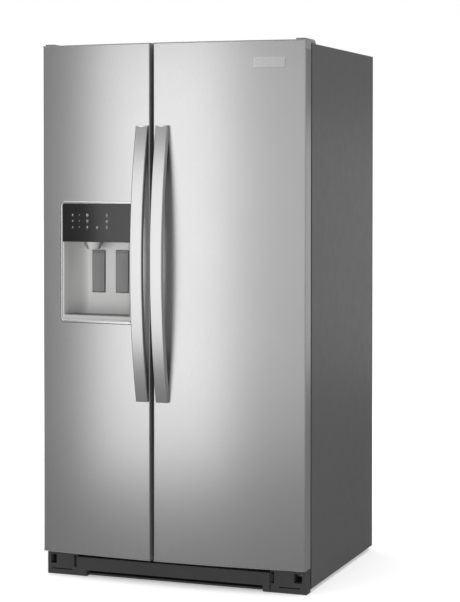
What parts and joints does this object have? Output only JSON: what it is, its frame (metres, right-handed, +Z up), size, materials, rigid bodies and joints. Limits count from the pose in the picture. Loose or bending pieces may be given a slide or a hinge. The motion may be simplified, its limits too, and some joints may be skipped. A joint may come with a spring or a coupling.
{
  "type": "side by side refrigerator",
  "caption": "Tall two-door refrigerator-freezer with bowed doors, bar handles, an ice and water dispenser, inner drawers, shelves and a vented base.",
  "frame": {"origin": "middle of the closed refrigerator's footprint, on the floor", "axes": "+X right seen from the front, +Y from the doors to the back, +Z up"},
  "size_m": [0.911, 0.876, 1.7612],
  "materials": {
    "stainless": "brushed stainless steel, fine grain",
    "grey_steel": "dark grey textured paint",
    "zinc_steel": "zinc-plated sheet",
    "copper": "copper tube",
    "aluminium": "bare aluminium tube and fins",
    "compressor_steel": "black paint",
    "black_plastic": "fine texture",
    "black_gloss": "polished black",
    "dark_plastic": "fine texture",
    "silver_plastic": "satin silver-grey",
    "paddle_grey": "satin",
    "white_plastic": "satin white",
    "clear_plastic": "clear, polished",
    "shelf_glass": "tempered glass",
    "foam": null,
    "gasket_rubber": "soft grey magnetic seal",
    "bright_trim": "satin bright metal"
  },
  "bodies": {
    "cabinet": {"cabinet_wrapper": "grey_steel", "back_panel": "zinc_steel", "machine_compartment_cover": "dark_plastic", "cabinet_foam": "foam", "freezer_liner": "white_plastic", "refrigerator_liner": "white_plastic", "base_chassis": "zinc_steel", "toe_grille": "black_plastic", "freezer_top_hinge": "zinc_steel", "refrigerator_top_hinge": "zinc_steel", "freezer_hinge_cover": "dark_plastic", "refrigerator_hinge_cover": "dark_plastic", "freezer_bottom_hinge": "zinc_steel", "refrigerator_bottom_hinge": "zinc_steel", "compressor": "compressor_steel", "condenser_coil": "copper", "condenser_fan_motor": "black_plastic", "evaporator_coil": "aluminium", "evaporator_cover": "white_plastic", "ice_maker": "white_plastic", "water_inlet_valve": "white_plastic", "power_inlet": "black_plastic", "control_housing": "white_plastic", "freezer_shelf": "white_plastic", "refrigerator_shelf_upper": "shelf_glass", "refrigerator_shelf_lower": "shelf_glass", "crisper_shelf": "shelf_glass"},
    "freezer_door": {"freezer_door_skin": "stainless", "freezer_door_foam": "foam", "freezer_door_liner": "white_plastic", "freezer_door_gasket": "gasket_rubber", "freezer_door_top_cap": "dark_plastic", "freezer_door_bottom_cap": "dark_plastic", "freezer_door_handle": "stainless", "dispenser_bezel": "bright_trim", "dispenser_control_panel": "black_gloss", "dispenser_housing": "silver_plastic", "ice_chute": "silver_plastic", "drip_tray": "silver_plastic", "ice_bin": "clear_plastic"},
    "refrigerator_door": {"refrigerator_door_skin": "stainless", "refrigerator_door_foam": "foam", "refrigerator_door_liner": "white_plastic", "refrigerator_door_gasket": "gasket_rubber", "refrigerator_door_top_cap": "dark_plastic", "refrigerator_door_bottom_cap": "dark_plastic", "refrigerator_door_handle": "stainless", "badge": "bright_trim", "door_bin_upper": "clear_plastic", "door_bin_lower": "clear_plastic"},
    "upper_crisper": {"upper_crisper": "clear_plastic"},
    "lower_crisper": {"lower_crisper": "clear_plastic"},
    "freezer_basket": {"freezer_basket": "white_plastic"},
    "rear_roller_left": {"rear_roller_left": "dark_plastic"},
    "rear_roller_right": {"rear_roller_right": "dark_plastic"},
    "levelling_foot_left": {"levelling_foot_left": "dark_plastic"},
    "levelling_foot_right": {"levelling_foot_right": "dark_plastic"},
    "ice_paddle": {"ice_paddle": "paddle_grey"},
    "water_paddle": {"water_paddle": "paddle_grey"},
    "condenser_fan": {"condenser_fan_blade": "white_plastic"}
  },
  "joints": [
    {"name": "freezer_door_hinge", "type": "hinge", "parent": "cabinet", "child": "freezer_door", "pos_m": [-0.4335, -0.3255, 0.918], "axis": [0, 0, -1], "range_deg": [0, 130]},
    {"name": "refrigerator_door_hinge", "type": "hinge", "parent": "cabinet", "child": "refrigerator_door", "pos_m": [0.4335, -0.3255, 0.918], "axis": [0, 0, 1], "range_deg": [0, 130]},
    {"name": "upper_crisper_slide", "type": "slide", "parent": "cabinet", "child": "upper_crisper", "axis": [0, -1, 0], "range_m": [0, 0.195]},
    {"name": "lower_crisper_slide", "type": "slide", "parent": "cabinet", "child": "lower_crisper", "axis": [0, -1, 0], "range_m": [0, 0.195]},
    {"name": "freezer_basket_slide", "type": "slide", "parent": "cabinet", "child": "freezer_basket", "axis": [0, -1, 0], "range_m": [0, 0.195]},
    {"name": "condenser_fan_spin", "type": "hinge", "parent": "cabinet", "child": "condenser_fan", "pos_m": [-0.052, 0.325, 0.135], "axis": [1, 0, 0], "continuous": true},
    {"name": "rear_roller_left_spin", "type": "hinge", "parent": "cabinet", "child": "rear_roller_left", "pos_m": [-0.421, 0.35, 0.025], "axis": [1, 0, 0], "continuous": true},
    {"name": "rear_roller_right_spin", "type": "hinge", "parent": "cabinet", "child": "rear_roller_right", "pos_m": [0.421, 0.35, 0.025], "axis": [1, 0, 0], "continuous": true},
    {"name": "levelling_foot_left_screw", "type": "slide", "parent": "cabinet", "child": "levelling_foot_left", "axis": [0, 0, -1], "range_m": [0, 0.015]},
    {"name": "levelling_foot_right_screw", "type": "slide", "parent": "cabinet", "child": "levelling_foot_right", "axis": [0, 0, -1], "range_m": [0, 0.015]},
    {"name": "ice_paddle_hinge", "type": "hinge", "parent": "freezer_door", "child": "ice_paddle", "pos_m": [-0.291, -0.267, 1.072], "axis": [1, 0, 0], "range_deg": [0, 6], "stiffness_Nm_per_rad": 1, "springref_deg": -8.59},
    {"name": "water_paddle_hinge", "type": "hinge", "parent": "freezer_door", "child": "water_paddle", "pos_m": [-0.206, -0.267, 1.072], "axis": [1, 0, 0], "range_deg": [0, 6], "stiffness_Nm_per_rad": 1, "springref_deg": -8.59}
  ],
  "couplings": [
    {"joint": "upper_crisper_slide", "follows": "refrigerator_door_hinge", "m_per_rad": 0.084},
    {"joint": "lower_crisper_slide", "follows": "refrigerator_door_hinge", "m_per_rad": 0.084},
    {"joint": "freezer_basket_slide", "follows": "freezer_door_hinge", "m_per_rad": 0.084}
  ]
}
